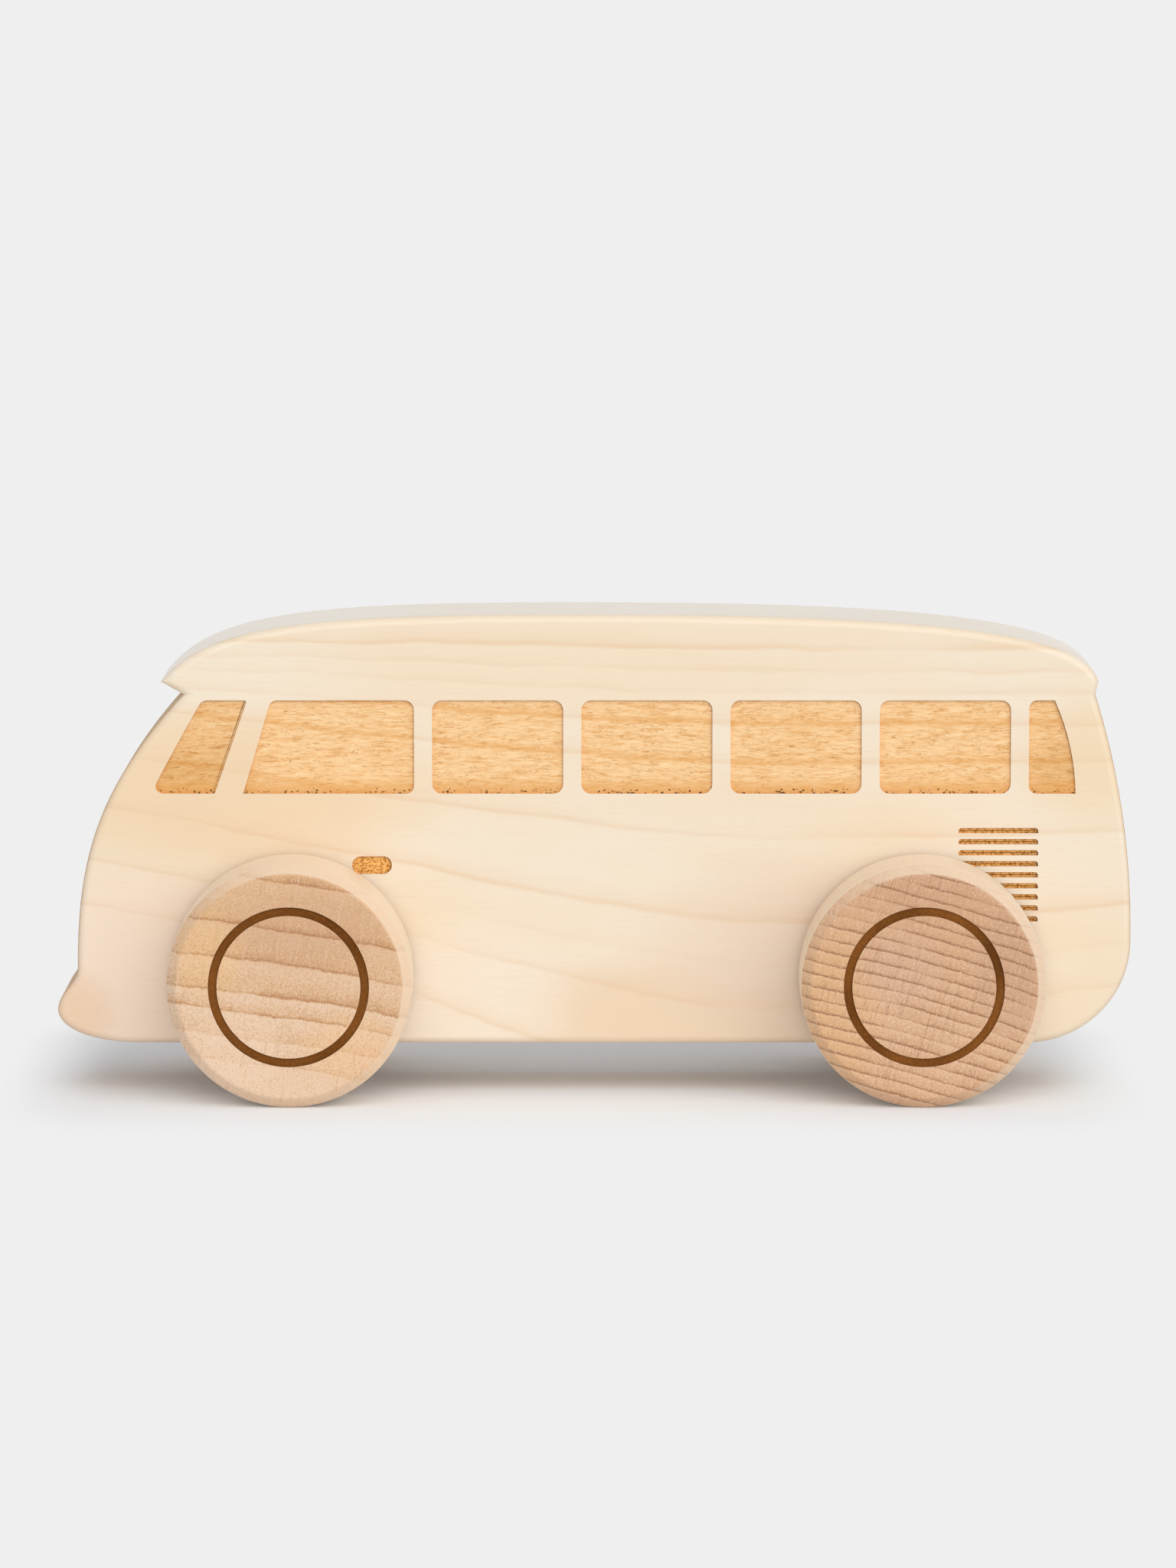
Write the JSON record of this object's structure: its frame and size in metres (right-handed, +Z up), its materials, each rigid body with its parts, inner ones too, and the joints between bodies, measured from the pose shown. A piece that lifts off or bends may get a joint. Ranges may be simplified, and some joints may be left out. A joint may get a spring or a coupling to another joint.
{
  "type": "toy bus",
  "caption": "Push-along wooden toy bus: a solid profile-cut block with engraved windows, vents and door handle, rolling on dowel axles with glued solid wheels.",
  "frame": {"origin": "ground level, under the middle of the toy's length and width", "axes": "+X along the toy from the front to the tail, +Y from the toy's left side to its right side, +Z up"},
  "size_m": [0.177, 0.06, 0.0793],
  "materials": {
    "block_wood": "sanded and oiled, satin",
    "dowel_wood": "sanded, matt",
    "wheel_wood": "turned and oiled, satin"
  },
  "bodies": {
    "block": {"body": "block_wood"},
    "front_wheelset": {"front_axle": "dowel_wood", "front_left_wheel": "wheel_wood", "front_right_wheel": "wheel_wood"},
    "rear_wheelset": {"rear_axle": "dowel_wood", "rear_left_wheel": "wheel_wood", "rear_right_wheel": "wheel_wood"}
  },
  "joints": [
    {"name": "front_axle_spin", "type": "hinge", "parent": "block", "child": "front_wheelset", "pos_m": [-0.0497, 0, 0.02], "axis": [0, 1, 0], "continuous": true},
    {"name": "rear_axle_spin", "type": "hinge", "parent": "block", "child": "rear_wheelset", "pos_m": [0.0537, 0, 0.02], "axis": [0, 1, 0], "continuous": true}
  ]
}
